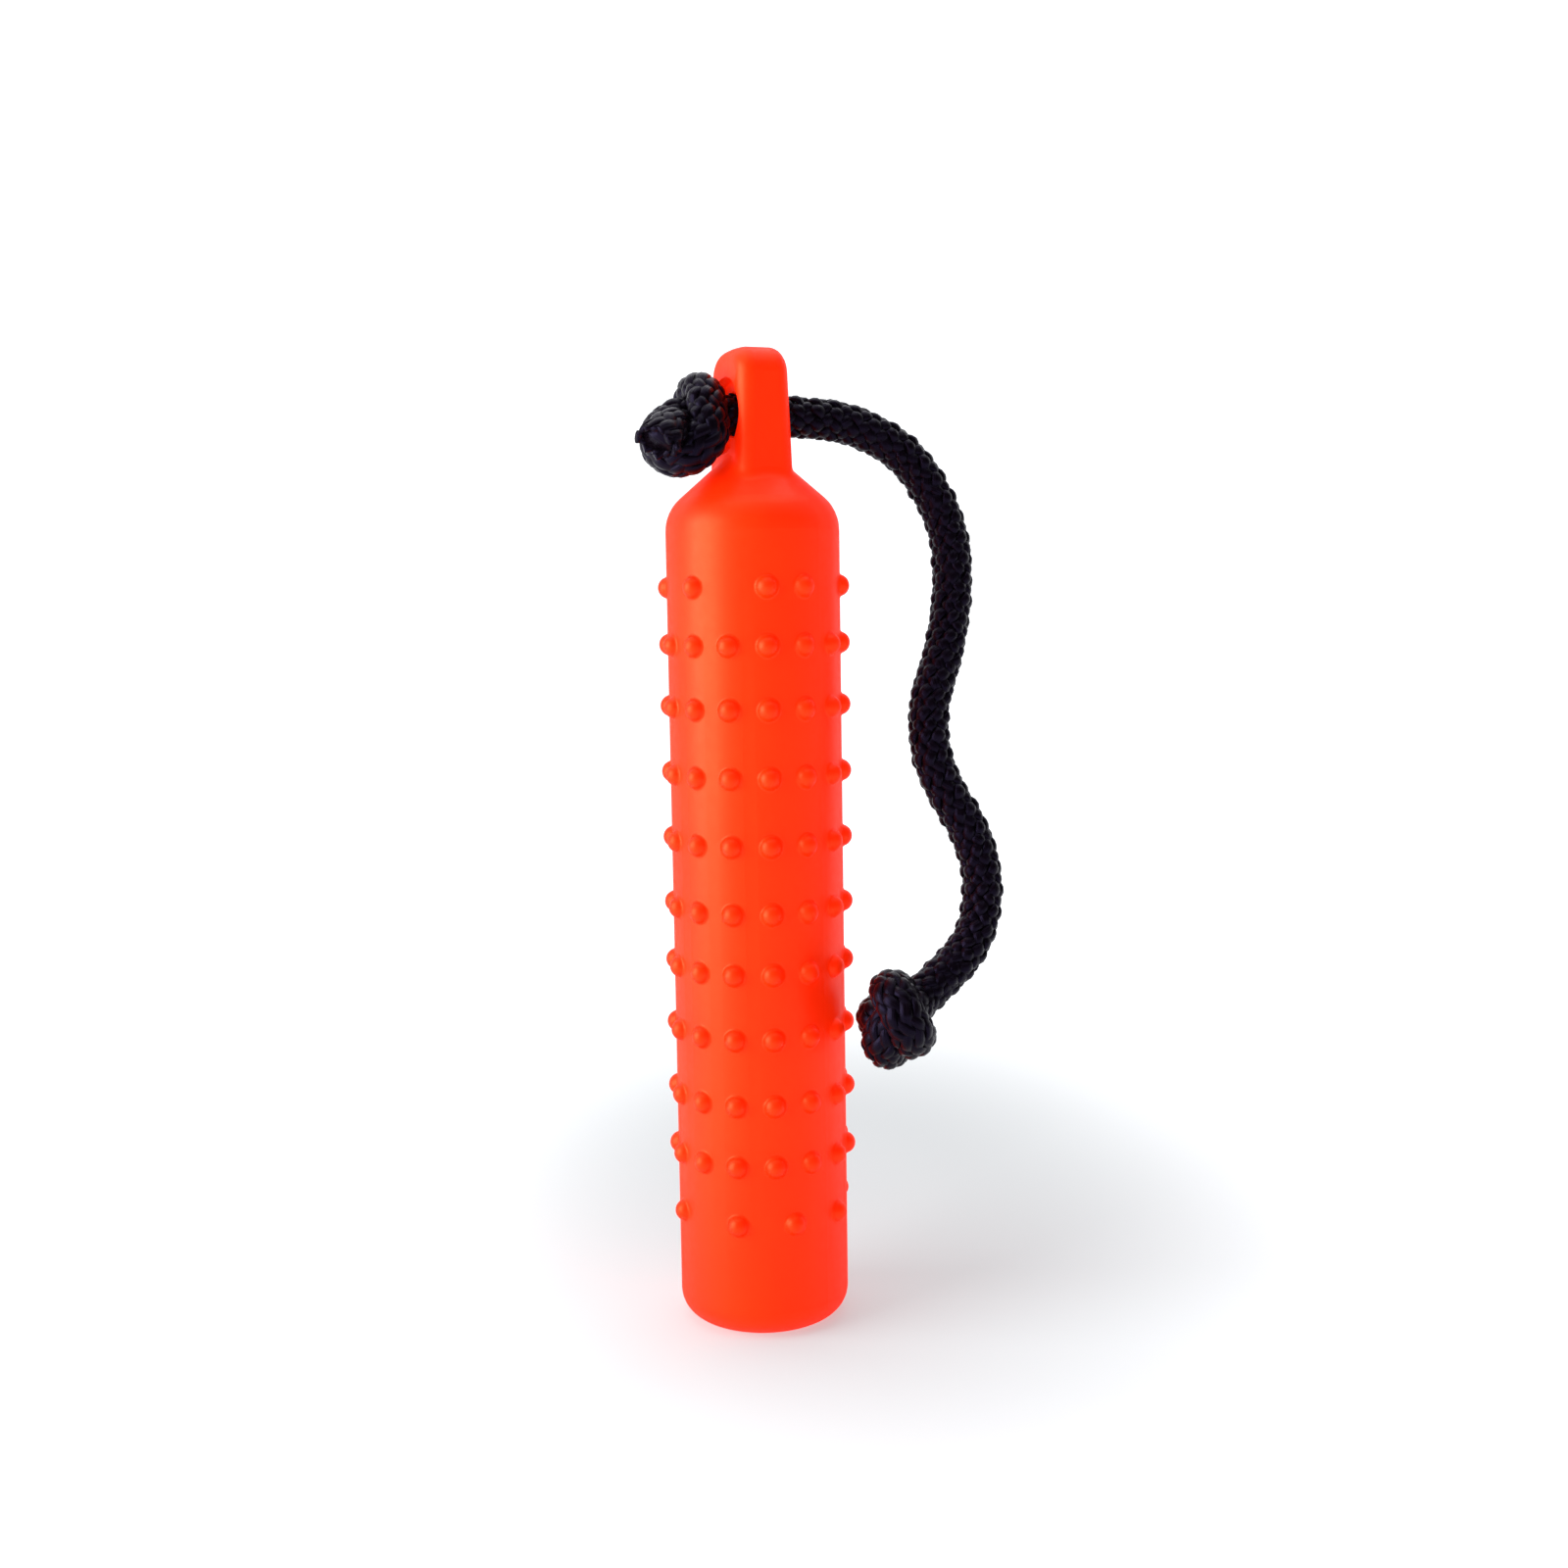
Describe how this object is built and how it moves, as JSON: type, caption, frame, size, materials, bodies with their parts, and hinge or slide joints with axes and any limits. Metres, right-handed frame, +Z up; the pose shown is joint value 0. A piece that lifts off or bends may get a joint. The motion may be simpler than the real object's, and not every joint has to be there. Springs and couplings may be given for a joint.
{
  "type": "dog training bumper",
  "caption": "Knobby soft-vinyl retrieving bumper with a flat neck and a black braided throw rope, stopper-knotted on one side and knotted again at its free end.",
  "frame": {"origin": "centre of the flat base, on the ground plane, under the axis of the body", "axes": "+Z up the body's axis to the neck; X along the rope hole through the neck, with the hanging rope on the +X side and the stopper knot on the -X side; -Y is the front, towards which the rope leans"},
  "size_m": [0.1062, 0.0764, 0.295],
  "materials": {
    "vinyl": "satin soft vinyl, blaze orange",
    "valve_rubber": "matte",
    "rope_braid": "glossy polypropylene multifilament braid",
    "rope_filler": "loose filler yarns"
  },
  "bodies": {
    "bumper": {"moulded_body": "vinyl", "air_valve": "valve_rubber"},
    "stopper": {"stopper_knot": "rope_braid", "stopper_tail": "rope_braid"},
    "throw_line": {"throw_rope": "rope_braid", "rope_core": "rope_filler", "throw_knot": "rope_braid", "throw_tail": "rope_braid"}
  },
  "joints": [
    {"name": "rope_slide", "type": "slide", "parent": "bumper", "child": "stopper", "axis": [-1, 0, 0], "range_m": [0, 0.004]},
    {"name": "rope_swing", "type": "hinge", "parent": "stopper", "child": "throw_line", "pos_m": [0, 0, 0.2755], "axis": [-1, 0, 0], "range_deg": [0, 336]}
  ]
}
